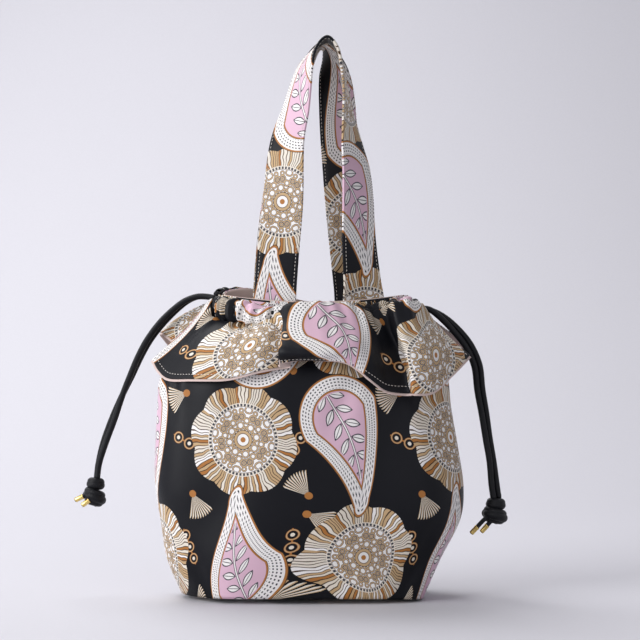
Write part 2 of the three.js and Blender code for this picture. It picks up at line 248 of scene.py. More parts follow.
# The sag fades in over some height above the shoulder; the back stands up on the left
NECK_SAG = 7
SAG_FROM, SAG_FADE = 225, 40
SAG_MOST = 1.2
BACK_RISE = 11
RISE_DEPTH, RISE_WIDTH = 20, 60


def neck_oval(degrees, offset):
    """Point of the oval neck seen from above."""
    turn = np.radians(degrees)
    x = NECK_X + (NECK_HALF_WIDTH + offset) * np.cos(turn)
    return x, (NECK_HALF_DEPTH + offset) * np.sin(turn)


def neck_sag(points):
    """The front and back of the neck hang lower than its sides, and the back stands up on the left."""
    x, y, z = points[..., 0], points[..., 1], points[..., 2]
    high = np.clip((z - SAG_FROM) / SAG_FADE, 0, 1)
    sag = NECK_SAG * np.clip(np.abs(y) / NECK_HALF_DEPTH, 0, SAG_MOST) ** 2
    sag -= BACK_RISE * np.clip(y / RISE_DEPTH, 0, 1) * np.clip(-x / RISE_WIDTH, 0, 1)
    return np.stack([x, y, z - sag * high], axis=-1)


for side_name, way_out, side in (("left", LEFT_EXIT, -1), ("right", RIGHT_EXIT, 1)):
    level = RUN_LEVELS[side_name]
    front = [(*neck_oval(degrees, CASING_OFFSET), level) for degrees in RUN_BEARINGS[::-side]]
    mouth_x, mouth_y, mouth_z = way_out[-1]
    front.insert(0, (mouth_x, -mouth_y, mouth_z))
    back = [(x, -y, z) for x, y, z in front[::-1]]
    route = front + [(NECK_X - side * LOOP_REACH, 0, level)] + back
    bm = bmesh.new()
    lay_grid(bm, *tube_grid(neck_sag(even_run(route, RUN_STEPS)), CORD_RADIUS, CORD_SIDES))
    run = make_piece(f"drawcord_{side_name}_run", bm, cord_cloth, closed=True)
    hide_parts(f"drawcord_{side_name}")

# Knots: at the lower end each pair is tied in one tight overhand knot. The two strands lie side by side in
# its turns, so each turn is thicker than the cord; the two ends stick out low on the left.
KNOT_TOPS = {"left": (-193.4, 0, 104), "right": (166.6, 0, 85.5)}
KNOT_LEAN = 0.1
KNOT_TILT_BEARING = 3.4
KNOT_WIDTHS = {"left": 1.0, "right": 1.18}
KNOT_HEIGHTS = {"left": 1.0, "right": 0.86}
# Inside the knot the strands go straight down to these depths
CORE_DEPTHS = (8, 15)
CORE_RADIUS = CORD_RADIUS - 0.1
CORE_STEPS = 30
# Each turn goes a little more than once round, and both its ends are tucked in towards the middle
TURN_POINTS = 64
TURN_ROUNDS = 1.16
TUCK_SHARE = 0.1
TUCK_REACH = 0.3
# Each turn: reach, height, tilt, bearing where it starts, half thickness
KNOT_TURNS = [
    (3.9, -1.4, 0.4, 1.2, 3.9), (4.3, -3.8, 0.6, 1.7, 4.0),
    (5.7, -11.6, 2.2, 2.5, 4.0), (6.5, -15.2, 2.6, 2.9, 4.3), (4.4, -18.4, 1.2, 0.4, 4.2),
]
# Each cord end below the knot: where it leaves the knot, a point on its way, its tip
CORD_ENDS = {
    "left": [((-194, -3.6, 95), (-200, -5.6, 92.4), (-211.6, -4.8, 86.6)),
             ((-191, -5, 91), (-196.2, -7.6, 88.8), (-205, -7, 82.2))],
    "right": [((164, -4, 75), (156, -6.8, 70.2), (143.6, -6.2, 57)),
              ((168, -3.5, 72), (162, -6, 68.6), (152.8, -5.6, 58.2))],
}
END_RADIUS = 2.0
END_STEPS = 24
END_SIDES = 16
for side_name, top in KNOT_TOPS.items():
    bm = bmesh.new()
    for face_name in ("front", "back"):
        path = strand_paths[side_name, face_name] / MM
        core = [path[-5], path[-1], *(np.subtract(top, (0, 0, depth)) for depth in CORE_DEPTHS)]
        lay_grid(bm, *tube_grid(even_run(core, CORE_STEPS), CORE_RADIUS, END_SIDES))
    for reach, height, tilt, start, thick in KNOT_TURNS:
        gone = np.linspace(0, 1, TURN_POINTS)
        bearing = start + 2 * math.pi * TURN_ROUNDS * gone
        free = np.clip(np.minimum(gone, 1 - gone) / TUCK_SHARE, 0, 1)
        out = KNOT_WIDTHS[side_name] * reach * (TUCK_REACH + (1 - TUCK_REACH) * free)
        level = KNOT_HEIGHTS[side_name] * (height + tilt * np.cos(bearing - KNOT_TILT_BEARING))
        line = np.stack([out * np.cos(bearing) + KNOT_LEAN * level, out * np.sin(bearing), level], axis=1)
        lay_grid(bm, *tube_grid(line + top, thick, CORD_SIDES))
    for points in CORD_ENDS[side_name]:
        lay_grid(bm, *tube_grid(even_run(points, END_STEPS), END_RADIUS, END_SIDES))
    knot = make_piece(f"knot_{side_name}_turns", bm, cord_cloth, closed=True)
    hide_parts(f"knot_{side_name}", f"cord_end_{side_name}_1", f"cord_end_{side_name}_2")

# Tips: small gold-coloured caps of thin brass, drawn as round cups with a rolled rim and pressed over
# the four cord ends, so that the cut cord can't fray.

# Polished brass: a warm yellow mirror, dulled by handling in specks about 1 mm across.
brass, tree, shader = new_material("polished_brass")
BRASS_SPECK = 0.0012
place = node(tree, "TexCoord")
specks = node(tree, "TexNoise", {
    "Vector": place.outputs["Object"], "Scale": 1 / BRASS_SPECK, "Detail": 3.0})
wear = node(tree, "MapRange", {"Value": specks, "To Min": 0.2, "To Max": 0.34})
gold = node(tree, "MixRGB", {"Fac": specks, "Color1": linear("#e6cf8a"), "Color2": linear("#d3b262")})
tree.links.new(wear.outputs[0], shader.inputs["Roughness"])
tree.links.new(gold.outputs[0], shader.inputs["Base Color"])
shader.inputs["Metallic"].default_value = 1.0

# Half outline from the closed end to the rim: reach and height
TIP_OUTLINE = [
    (0, 8.6), (1.2, 8.5), (1.95, 8.0), (2.2, 7.2), (2.25, 1.0), (2.55, 0.75), (2.55, 0.2), (2.3, 0),
    (2.05, 0.3),
]
TIP_SIDES = 24
TIP_COVERS = 8.2
tips = {}
for side_name, ends in CORD_ENDS.items():
    tips[side_name] = []
    for k, points in enumerate(ends):
        bm = bmesh.new()
        ring = [bm.verts.new((r * MM, 0, h * MM)) for r, h in TIP_OUTLINE]
        edges = [bm.edges.new(pair) for pair in zip(ring, ring[1:])]
        bmesh.ops.spin(bm, geom=ring + edges, cent=(0, 0, 0), axis=(0, 0, 1), dvec=(0, 0, 0),
                       angle=2 * math.pi, steps=TIP_SIDES, use_merge=True, use_duplicate=False)
        bmesh.ops.remove_doubles(bm, verts=bm.verts, dist=1e-6)
        bmesh.ops.recalc_face_normals(bm, faces=bm.faces)
        way = Vector(points[2]) - Vector(points[1])
        seat = Matrix.Translation((Vector(points[2]) - way.normalized() * TIP_COVERS) * MM)
        turn = Vector((0, 0, 1)).rotation_difference(way).to_matrix().to_4x4()
        bmesh.ops.transform(bm, verts=bm.verts, matrix=seat @ turn)
        for face in bm.faces:
            face.smooth = True
        tip = make_piece(f"cord_tip_{side_name}_{k + 1}_cap", bm, brass)
        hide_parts(f"cord_tip_{side_name}_{k + 1}")
        tips[side_name].append(tip)

for (side_name, face_name), strand in strands.items():
    path = strand_paths[side_name, face_name]


# Body: a front and a back panel of printed cotton satin, sewn together at the sides and to a base panel.
# The bag stands by itself and leans out a little to the left.

# Outline from the base up: height, left end, right end, half depth, squareness
BODY_ROWS = [
    (0, -116, 100, 53, 4.5), (35, -129, 116, 61, 3.2), (70, -135, 134, 66, 2.6),
    (100, -140, 137, 67, 2.4), (135, -140, 132, 66, 2.3), (170, -138, 126, 64, 2.3),
    (195, -136, 123, 62, 2.3), (214, -127, 118, 56, 2.2), (229, -104, 103, 42, 2.1),
    (242, -82, 86, 28.5, 2), (252, -80, 84, 27, 2), (271, -80, 84, 27, 2),
]
BASE_HALF_DEPTH = BODY_ROWS[0][3]
BASE_ROWS = 12
WALL_ROWS = 110
PANEL_COLUMNS = 170
# The soft lower left corner and the lower edges in front and at the back lift off the table
LIFT_FADE = 60
EDGE_LIFT = 5
CORNER_LIFT = 4
CORNER_X = 58
CORNER_PINCH = 0.55
# The neck's gathers run down into the shoulder and end under the casings
PLEATS = 21
PLEAT_DEEP = 2.6
PLEAT_FROM, PLEAT_GROWS = 140, 85
PLEAT_TO, PLEAT_FADE = 250, 20
# Slack of the cloth, front and back: middle x and z, half width, half height, slant, depth
DENTS = [
    (-95, 60, 26, 60, 0.35, -5), (-20, 130, 60, 90, -0.1, 3), (62, 60, 24, 70, -0.45, -4.5),
    (105, 120, 16, 60, -0.1, 3), (-118, 140, 14, 50, 0.1, 2.5), (20, 30, 70, 20, 0, -2.5),
    (70, 150, 20, 70, 0.25, -3.5), (93, 34, 8, 34, 0.45, -3.5), (-98, 26, 8, 34, -0.4, -3),
    (28, 178, 11, 26, 0.35, -3), (-66, 172, 11, 28, -0.25, -3), (98, 176, 10, 26, -0.3, -3),
]
# Dents fade out towards the side seams over this depth
DENT_FADE = 30


def rounded(value, squareness):
    """Cosine or sine of an oval, pushed towards a box's."""
    return np.sign(value) * np.abs(value) ** (2 / squareness)


def gathers(across, count, seed):
    """Small pleats along a gathered edge, from -1 to 1; slow waves make their pitch and depth uneven."""
    whole = 2 * math.pi
    shift = 0.35 * np.sin(whole * (3 * across + seed)) + 0.2 * np.sin(whole * (7 * across + 2.3 * seed))
    depth = 0.75 + 0.25 * np.sin(whole * (5 * across + seed))
    return np.sin(whole * (count * across + shift)) * depth


def outward(points):
    """Direction out of the cloth at each point of a grid."""
    normal = np.cross(np.gradient(points, axis=1), np.gradient(points, axis=0))
    return normal / np.maximum(np.linalg.norm(normal, axis=2), 1e-9)[..., None]


def low_down(points):
    """1 at the table, fading to 0 above the lower edge of the body."""
    return np.clip(1 - points[..., 2] / LIFT_FADE, 0, 1) ** 2


def edge_lift(points):
    """How far the base is off the table at each point: not in the middle, most in front and at the back."""
    return EDGE_LIFT * (points[..., 1] / BASE_HALF_DEPTH) ** 2


def body_wall(turn, inset):
    """Body surface from the base edge up to the neck; turn is the angle round the bag."""
    rows = run_through(BODY_ROWS, np.linspace(0, 1, WALL_ROWS + 1))
    height, left, right, depth, square = (rows[:, k][:, None] for k in range(5))
    left, right, depth = left + inset, right - inset, depth - inset
    x = (left + right) / 2 + (right - left) / 2 * rounded(np.cos(turn)[None, :], square)
    y = depth * rounded(np.sin(turn)[None, :], square)
    points = np.stack(np.broadcast_arrays(x, y, np.maximum(height, inset)), axis=2)
    for middle_x, middle_z, wide, tall, slant, deep in DENTS:
        above = points[..., 2] - middle_z
        across = (points[..., 0] - middle_x - slant * above) / wide
        dent = deep * np.exp(-across**2 - (above / tall) ** 2)
        points[..., 1] += np.sign(points[..., 1]) * dent * np.clip(np.abs(points[..., 1]) / DENT_FADE, 0, 1)
    corner = np.clip(-points[..., 0] / CORNER_X - 1, 0, 1) ** 2 * low_down(points)
    points[..., 1] *= 1 - CORNER_PINCH * corner
    points[..., 2] += CORNER_LIFT * corner
    points[..., 2] += edge_lift(points) * low_down(points)
    pull = np.clip((points[..., 2] - PLEAT_FROM) / PLEAT_GROWS, 0, 1) ** 2
    pull *= np.clip((PLEAT_TO - points[..., 2]) / PLEAT_FADE, 0, 1)
    pleats = PLEAT_DEEP * gathers(turn / (2 * math.pi), PLEATS, 0.4)
    points += outward(points) * (pleats[None, :] * pull)[..., None]
    return neck_sag(points)


def base_floor(wall):
    """Base inside the lowest row of a wall that goes all the way round; it rests on its long middle."""
    rim = wall[0]
    left, right, depth = rim[:, 0].min(), rim[:, 0].max(), rim[:, 1].max()
    middle, inner = (left + right) / 2, (right - left) / 2 - depth
    share = np.linspace(0, 1, BASE_ROWS + 1)[:, None, None]
    lift = edge_lift(rim)
    spine_x = np.clip(rim[:, 0], middle - inner, middle + inner)
    spine = np.stack([spine_x, 0 * rim[:, 1], rim[:, 2] - lift], axis=1)
    floor = spine[None] * (1 - share) + rim[None] * share
    floor[..., 2] -= lift * (share - share**2)[..., 0]
    return floor


def flat_cut(wide, tall, place):
    """Where each point of a grid lies on the flat cloth: widths and heights from the place of the cut."""
    wide, tall = np.asarray(wide) + place[0], np.asarray(tall) + place[1]
    return np.stack(np.broadcast_arrays(wide[None, :], tall[:, None]), axis=2)


# The print: cream medallions, pink paisleys, small striped fans and strings of beads on a near-black
# ground. Each motif is a group that gets its own place in millimetres and gives colour and cover.
def motif(name):
    """A group with a place going in and a colour and its cover coming out; returns tree, place, end."""
    tree = bpy.data.node_groups.new(name, "ShaderNodeTree")
    tree.interface.new_socket("Place", in_out="INPUT", socket_type="NodeSocketVector")
    tree.interface.new_socket("Colour", in_out="OUTPUT", socket_type="NodeSocketColor")
    tree.interface.new_socket("Cover", in_out="OUTPUT", socket_type="NodeSocketFloat")
    start = tree.nodes.new("NodeGroupInput")
    end = tree.nodes.new("NodeGroupOutput")
    return tree, start.outputs[0], end


PINK, WHITE, OCHRE, CREAM = "#d6b3c6", "#ece9e8", "#a9713c", "#e0d8cc"
TAN, BROWN, SLATE, GROUND = "#bfa27c", "#4a3626", "#3f3e45", "#0d0e14"

# Paisley: a bent drop with an ochre edge, a white border with rows of dashes, and a leafy stem on pink.
paisley, place, end = motif("paisley")
DROP_LENGTH, DROP_WIDE, DROP_NARROW = 68, 39, 9
DROP_BEND = -0.0062
# Border of the drop: dashes counted round a point in its belly, set in rows
DASHES, DASH_HEART = 84, 14.0
ROW_STEP, ROW_LINE = 1.35, 0.8
BORDER_MIDDLE, BORDER_HALF = 7.4, 4.6
# Stem and leaves on the pink field, which starts inside the border
LEAF_STEP, LEAF_LONG, LEAF_WIDE, LEAF_ASIDE, LEAF_LEAN = 14.0, 8.2, 3.6, 7.8, -38
STEM_HALF, STEM_HEART, VEIN_HALF = 1.2, 0.6, 0.3
FIELD_DEPTH = 15.6
spot = node(paisley, "SeparateXYZ", {0: place})
x, y = spot.outputs[0], spot.outputs[1]
above = node(paisley, "Math", {0: y, 1: 0.0}, operation="MAXIMUM")
bend = node(paisley, "Math", {0: above, 1: 2.0}, operation="POWER")
lean = node(paisley, "Math", {0: bend, 1: DROP_BEND, 2: x}, operation="MULTIPLY_ADD")
share = node(paisley, "MapRange", {"Value": y, "From Max": DROP_LENGTH})
radius = node(paisley, "MapRange", {
    "Value": y, "From Max": DROP_LENGTH, "To Min": DROP_WIDE, "To Max": DROP_NARROW})
beyond = node(paisley, "Math", {0: share, 1: -DROP_LENGTH, 2: y}, operation="MULTIPLY_ADD")
reach = node(paisley, "CombineXYZ", {0: lean, 1: beyond})
span = node(paisley, "VectorMath", {0: reach}, operation="LENGTH")
depth = node(paisley, "Math", {0: radius, 1: span.outputs["Value"]}, operation="SUBTRACT")
level = node(paisley, "Math", {0: depth, 1: DROP_WIDE}, operation="DIVIDE")
DROP_BANDS = [(0, BROWN), (0.4, OCHRE), (1.8, WHITE), (12.6, BROWN), (13.0, OCHRE), (14.4, PINK)]
bands = node(paisley, "ValToRGB", {0: level}, stops=[(far / DROP_WIDE, tone) for far, tone in DROP_BANDS])
low = node(paisley, "Math", {0: y, 1: DASH_HEART}, operation="SUBTRACT")
bearing = node(paisley, "Math", {0: lean, 1: low}, operation="ARCTAN2")
beat = node(paisley, "Math", {0: bearing, 1: DASHES / (2 * math.pi)}, operation="MULTIPLY")
pulse = node(paisley, "Math", {0: beat}, operation="FRACT")
dash = node(paisley, "Math", {0: pulse, 1: 0.5}, operation="GREATER_THAN")
row = node(paisley, "Math", {0: depth, 1: ROW_STEP}, operation="PINGPONG")
rows = node(paisley, "Math", {0: row, 1: ROW_LINE}, operation="GREATER_THAN")
border = node(paisley, "Math", {0: depth, 1: BORDER_MIDDLE, 2: BORDER_HALF}, operation="COMPARE")
dashes = node(paisley, "Math", {0: dash, 1: rows}, operation="MULTIPLY")
dashes = node(paisley, "Math", {0: dashes, 1: border}, operation="MULTIPLY")
dashed = node(paisley, "MixRGB", {0: dashes, 1: bands, 2: linear(SLATE)})
cell = node(paisley, "Math", {0: y, 1: 4 * LEAF_STEP}, operation="ADD")
cell = node(paisley, "Math", {0: cell, 1: LEAF_STEP}, operation="MODULO")
cell = node(paisley, "Math", {0: cell, 1: LEAF_STEP / 2 + 1}, operation="SUBTRACT")
aside = node(paisley, "Math", {0: lean}, operation="ABSOLUTE")
twig = node(paisley, "Math", {0: aside, 1: LEAF_ASIDE}, operation="SUBTRACT")
leaf = node(paisley, "CombineXYZ", {0: twig, 1: cell})
leaf = node(paisley, "VectorRotate", {
    "Vector": leaf, "Angle": math.radians(LEAF_LEAN)}, rotation_type="Z_AXIS")
turned = node(paisley, "SeparateXYZ", {0: leaf})
vein = node(paisley, "Math", {0: turned.outputs[1], 1: 0.0, 2: VEIN_HALF}, operation="COMPARE")
leaf = node(paisley, "Math", {0: turned.outputs[0], 1: 1 / LEAF_LONG}, operation="MULTIPLY")
leaf = node(paisley, "Math", {0: leaf, 1: 2.0}, operation="POWER")
belly = node(paisley, "Math", {0: turned.outputs[1]}, operation="ABSOLUTE")
leaf = node(paisley, "Math", {0: belly, 1: 1 / LEAF_WIDE, 2: leaf}, operation="MULTIPLY_ADD")
leaf_tone = node(paisley, "ValToRGB", {0: leaf}, stops=[(0, WHITE), (0.72, SLATE)])
leaf_tone = node(paisley, "MixRGB", {0: vein, 1: leaf_tone, 2: linear(SLATE)})
leaf_cover = node(paisley, "Math", {0: leaf, 1: 1.0}, operation="LESS_THAN")
stem = node(paisley, "Math", {0: aside, 1: STEM_HALF}, operation="LESS_THAN")
stem_heart = node(paisley, "Math", {0: aside, 1: STEM_HEART}, operation="LESS_THAN")
stem_tone = node(paisley, "MixRGB", {0: stem, 1: leaf_tone, 2: linear(SLATE)})
stem_tone = node(paisley, "MixRGB", {0: stem_heart, 1: stem_tone, 2: linear(WHITE)})
sprig = node(paisley, "Math", {0: leaf_cover, 1: stem}, operation="MAXIMUM")
field = node(paisley, "Math", {0: depth, 1: FIELD_DEPTH}, operation="GREATER_THAN")
sprig = node(paisley, "Math", {0: sprig, 1: field}, operation="MULTIPLY")
painted = node(paisley, "MixRGB", {0: sprig, 1: dashed, 2: stem_tone})
cover = node(paisley, "Math", {0: depth, 1: 0.0}, operation="GREATER_THAN")
paisley.links.new(painted.outputs[0], end.inputs[0])
paisley.links.new(cover.outputs[0], end.inputs[1])

# Medallion: a cream round with mirrored scrolls, a bead ring and a fringe of tan and brown threads.
medallion, place, end = motif("medallion")
ROUND = 49
SCALLOPS, SCALLOP_DEEP = 4.0, 4.0
# Lace of scrolls, folded into mirrored sectors, between the heart and the ring of beads
SECTORS = 8
LACE_MIDDLE, LACE_HALF, SCROLL_HALF = 18.4, 9.8, 0.85
BEADS_ROUND, BEAD_RING, BEAD_RING_HALF = 58, 30.2, 1.1
# Fringe: threads for each bead, their sway, the dark share between two threads
FRINGE_FROM, THREADS_A_BEAD, SWAY, SWAY_SCALE, THREAD_GAP = 32.0, 1.7, 3.2, 0.07, 0.26
spot = node(medallion, "SeparateXYZ", {0: place})
span = node(medallion, "VectorMath", {0: place}, operation="LENGTH")
reach = span.outputs["Value"]
bearing = node(medallion, "Math", {0: spot.outputs[1], 1: spot.outputs[0]}, operation="ARCTAN2")
ripple = node(medallion, "Math", {0: bearing, 1: SCALLOPS}, operation="MULTIPLY")
ripple = node(medallion, "Math", {0: ripple}, operation="SINE")
ripple = node(medallion, "Math", {0: ripple}, operation="ABSOLUTE")
edge = node(medallion, "Math", {
    0: ripple, 1: SCALLOP_DEEP, 2: ROUND - SCALLOP_DEEP}, operation="MULTIPLY_ADD")
cover = node(medallion, "Math", {0: reach, 1: edge}, operation="LESS_THAN")
level = node(medallion, "Math", {0: reach, 1: ROUND}, operation="DIVIDE")
ROUND_BANDS = [
    (0, OCHRE), (2.2, WHITE), (5.0, BROWN), (5.6, TAN), (8.0, BROWN), (8.5, WHITE), (28.4, BROWN),
    (28.9, CREAM),
]
ground = node(medallion, "ValToRGB", {0: level}, stops=[(far / ROUND, tone) for far, tone in ROUND_BANDS])
turned = node(medallion, "Math", {0: bearing, 1: math.pi}, operation="ADD")
folded = node(medallion, "Math", {0: turned, 1: math.pi / SECTORS}, operation="PINGPONG")
fold_x = node(medallion, "Math", {0: folded}, operation="COSINE")
fold_x = node(medallion, "Math", {0: fold_x, 1: reach}, operation="MULTIPLY")
fold_y = node(medallion, "Math", {0: folded}, operation="SINE")
fold_y = node(medallion, "Math", {0: fold_y, 1: reach}, operation="MULTIPLY")
fold = node(medallion, "CombineXYZ", {0: fold_x, 1: fold_y})
# Scrolls of one folded sector: middle and reach of each ring
SCROLLS = [
    (12.5, 0.0, 3.0), (15.6, 6.4, 2.4), (20.0, 2.6, 3.0), (20.0, 2.6, 1.2), (24.6, 9.4, 2.6),
    (25.2, 3.2, 1.7), (9.6, 3.9, 1.0),
]
scrolls = None
for middle_x, middle_y, ring in SCROLLS:
    away = node(medallion, "VectorMath", {0: fold, 1: (middle_x, middle_y, 0)}, operation="DISTANCE")
    away = node(medallion, "Math", {0: away.outputs["Value"], 1: ring}, operation="SUBTRACT")
    away = node(medallion, "Math", {0: away}, operation="ABSOLUTE")
    scrolls = away if scrolls is None else node(medallion, "Math", {0: scrolls, 1: away}, operation="MINIMUM")
scroll_tone = node(medallion, "ValToRGB", {0: scrolls}, stops=[
    (0, TAN), (0.45, SLATE), (SCROLL_HALF, CREAM)])
scroll_line = node(medallion, "Math", {0: scrolls, 1: SCROLL_HALF}, operation="LESS_THAN")
lace = node(medallion, "Math", {0: reach, 1: LACE_MIDDLE, 2: LACE_HALF}, operation="COMPARE")
scroll_line = node(medallion, "Math", {0: scroll_line, 1: lace}, operation="MULTIPLY")
laced = node(medallion, "MixRGB", {0: scroll_line, 1: ground, 2: scroll_tone})
beat = node(medallion, "Math", {0: bearing, 1: BEADS_ROUND / (2 * math.pi)}, operation="MULTIPLY")
pulse = node(medallion, "Math", {0: beat}, operation="FRACT")
bead = node(medallion, "Math", {0: pulse, 1: 0.5, 2: 0.3}, operation="COMPARE")
bead_row = node(medallion, "Math", {0: reach, 1: BEAD_RING, 2: BEAD_RING_HALF}, operation="COMPARE")
bead = node(medallion, "Math", {0: bead, 1: bead_row}, operation="MULTIPLY")
beaded = node(medallion, "MixRGB", {0: bead, 1: laced, 2: linear(SLATE)})
wave = node(medallion, "TexNoise", {"Vector": place, "Scale": SWAY_SCALE, "Detail": 1.0})
sway = node(medallion, "Math", {0: wave, 1: SWAY}, operation="MULTIPLY")
sway = node(medallion, "Math", {0: beat, 1: THREADS_A_BEAD, 2: sway}, operation="MULTIPLY_ADD")
strand = node(medallion, "Math", {0: sway}, operation="FLOOR")
strand = node(medallion, "TexWhiteNoise", {"W": strand}, noise_dimensions="1D")
strand_tone = node(medallion, "ValToRGB", {0: strand}, stops=[
    (0, TAN), (0.32, CREAM), (0.7, WHITE), (0.86, OCHRE)])
thread = node(medallion, "Math", {0: sway}, operation="FRACT")
gap = node(medallion, "Math", {0: thread, 1: THREAD_GAP}, operation="LESS_THAN")
fringe_tone = node(medallion, "MixRGB", {0: gap, 1: strand_tone, 2: linear(BROWN)})
fringe = node(medallion, "Math", {0: reach, 1: FRINGE_FROM}, operation="GREATER_THAN")
finished = node(medallion, "MixRGB", {0: fringe, 1: beaded, 2: fringe_tone})
medallion.links.new(finished.outputs[0], end.inputs[0])
medallion.links.new(cover.outputs[0], end.inputs[1])

# Fan: a small wedge of cream and brown stripes on an ochre bead.
fan, place, end = motif("fan")
FAN_STRIPES, FAN_LONG, FAN_BOW, FAN_HALF_ANGLE, FAN_BEAD = 8.0, 20.0, 2.4, 0.62, 3.2
spot = node(fan, "SeparateXYZ", {0: place})
span = node(fan, "VectorMath", {0: place}, operation="LENGTH")
bearing = node(fan, "Math", {0: spot.outputs[0], 1: spot.outputs[1]}, operation="ARCTAN2")
beat = node(fan, "Math", {0: bearing, 1: FAN_STRIPES}, operation="MULTIPLY")
pulse = node(fan, "Math", {0: beat}, operation="FRACT")
stripes = node(fan, "ValToRGB", {0: pulse}, stops=[(0, CREAM), (0.4, TAN), (0.62, GROUND)])
bow = node(fan, "Math", {0: beat, 1: math.pi}, operation="MULTIPLY")
bow = node(fan, "Math", {0: bow}, operation="SINE")
bow = node(fan, "Math", {0: bow}, operation="ABSOLUTE")
edge = node(fan, "Math", {0: bow, 1: FAN_BOW, 2: FAN_LONG}, operation="MULTIPLY_ADD")
inside = node(fan, "Math", {0: span.outputs["Value"], 1: edge}, operation="LESS_THAN")
wedge = node(fan, "Math", {0: bearing, 1: 0.0, 2: FAN_HALF_ANGLE}, operation="COMPARE")
cover = node(fan, "Math", {0: inside, 1: wedge}, operation="MULTIPLY")
bead = node(fan, "Math", {0: span.outputs["Value"], 1: FAN_BEAD}, operation="LESS_THAN")
painted = node(fan, "MixRGB", {0: bead, 1: stripes, 2: linear(OCHRE)})
cover = node(fan, "Math", {0: cover, 1: bead}, operation="MAXIMUM")
fan.links.new(painted.outputs[0], end.inputs[0])
fan.links.new(cover.outputs[0], end.inputs[1])

# Beads: a short string of ochre rings, each with a cream bead in it.
beads, place, end = motif("beads")
BEAD_STEP, BEAD_RUN, BEAD_REACH, STRING_HALF = 12, 18, 5.2, 0.7
spot = node(beads, "SeparateXYZ", {0: place})
cell = node(beads, "Math", {0: spot.outputs[0], 1: 10 * BEAD_STEP + BEAD_STEP / 2}, operation="ADD")
cell = node(beads, "Math", {0: cell, 1: BEAD_STEP}, operation="MODULO")
cell = node(beads, "Math", {0: cell, 1: BEAD_STEP / 2}, operation="SUBTRACT")
local = node(beads, "CombineXYZ", {0: cell, 1: spot.outputs[1]})
span = node(beads, "VectorMath", {0: local}, operation="LENGTH")
level = node(beads, "Math", {0: span.outputs["Value"], 1: BEAD_STEP / 2}, operation="DIVIDE")
rings = node(beads, "ValToRGB", {0: level}, stops=[
    (0, CREAM), (0.28, GROUND), (0.62, OCHRE), (0.68, TAN), (0.8, OCHRE)])
inside = node(beads, "Math", {0: span.outputs["Value"], 1: BEAD_REACH}, operation="LESS_THAN")
bar = node(beads, "Math", {0: spot.outputs[1], 1: 0.0, 2: STRING_HALF}, operation="COMPARE")
cover = node(beads, "Math", {0: inside, 1: bar}, operation="MAXIMUM")
length = node(beads, "Math", {0: spot.outputs[0], 1: 0.0, 2: BEAD_RUN}, operation="COMPARE")
cover = node(beads, "Math", {0: cover, 1: length}, operation="MULTIPLY")
beads.links.new(rings.outputs[0], end.inputs[0])
beads.links.new(cover.outputs[0], end.inputs[1])


def plain_weave(tree, cloth, spacing, unevenness):
    """Warp and weft threads a spacing apart; 1 where both lie on top."""
    threads = {"Vector": cloth, "Scale": WAVE_SCALE / spacing, "Distortion": unevenness}
    warp = node(tree, "TexWave", threads, bands_direction="X")
    weft = node(tree, "TexWave", threads, bands_direction="Y")
    return node(tree, "Math", {0: warp.outputs["Fac"], 1: weft.outputs["Fac"]}, operation="MULTIPLY")


# Printed cotton satin: dense and smooth, so the black shows a soft sheen and the print stays crisp. Real
# threads are about 0.15 mm apart, too fine to show, so the weave is drawn 0.8 mm apart.
REPEAT = (200, 206)
HALF_REPEAT = (REPEAT[0] / 2, REPEAT[1] / 2, 1)
MM_PER_METRE = (1000, 1000, 1000)
# Motif, place in the repeat, turn in degrees; later ones lie over earlier ones
LAYOUT = [
    (beads, 100, 60, 64), (beads, 2, 158, -58), (beads, 100, 152, 25), (beads, 198, 62, 80),
    (fan, 99, 8, 70), (fan, 6, 108, -35), (fan, 104, 108, 160), (fan, 196, 10, 20), (fan, 96, 196, -110),
    (fan, 4, 92, 120),
    (medallion, 50, 52, 10), (medallion, 150, 156, 35),
    (paisley, 163, 33, -38), (paisley, 40, 174, 150),
]
WEAVE = 0.0008
printed_cotton, tree, shader = new_material("printed_cotton_satin")
cloth = node(tree, "UVMap")
cloth_mm = node(tree, "VectorMath", {0: cloth, 1: MM_PER_METRE}, operation="MULTIPLY")
colour = linear(GROUND)
for group, place_x, place_y, angle in LAYOUT:
    spot = node(tree, "VectorMath", {0: cloth_mm, 1: (place_x, place_y, 0)}, operation="SUBTRACT")
    ends = {1: HALF_REPEAT, 2: tuple(-half for half in HALF_REPEAT)}
    spot = node(tree, "VectorMath", {0: spot, **ends}, operation="WRAP")
    spot = node(tree, "VectorRotate", {"Vector": spot, "Angle": math.radians(angle)}, rotation_type="Z_AXIS")
    drawn = node(tree, "Group", node_tree=group)
    tree.links.new(spot.outputs[0], drawn.inputs[0])
    colour = node(tree, "MixRGB", {0: drawn.outputs[1], 1: colour, 2: drawn.outputs[0]})
weave = plain_weave(tree, cloth, WEAVE, 1.5)
fine = node(tree, "TexNoise", {"Vector": cloth_mm, "Scale": 0.5, "Detail": 3.0})
slub = node(tree, "Math", {0: fine, 1: 0.5, 2: weave}, operation="MULTIPLY_ADD")
raised = node(tree, "Bump", {"Strength": 0.2, "Distance": 0.0003, "Height": slub})
gloss = node(tree, "MapRange", {"Value": weave, "To Min": 0.46, "To Max": 0.36})
tree.links.new(colour.outputs[0], shader.inputs["Base Color"])
tree.links.new(raised.outputs[0], shader.inputs["Normal"])
tree.links.new(gloss.outputs[0], shader.inputs["Roughness"])
shader.inputs["Specular IOR Level"].default_value = 0.15
shader.inputs["Sheen Weight"].default_value = 0.02
shader.inputs["Sheen Roughness"].default_value = 0.5


def give_thickness(piece, thickness):
    """Gives a sheet of cloth its thickness, inwards from its outer face."""
    wall = piece.modifiers.new("thickness", "SOLIDIFY")
    wall.thickness = thickness
    wall.offset = -1


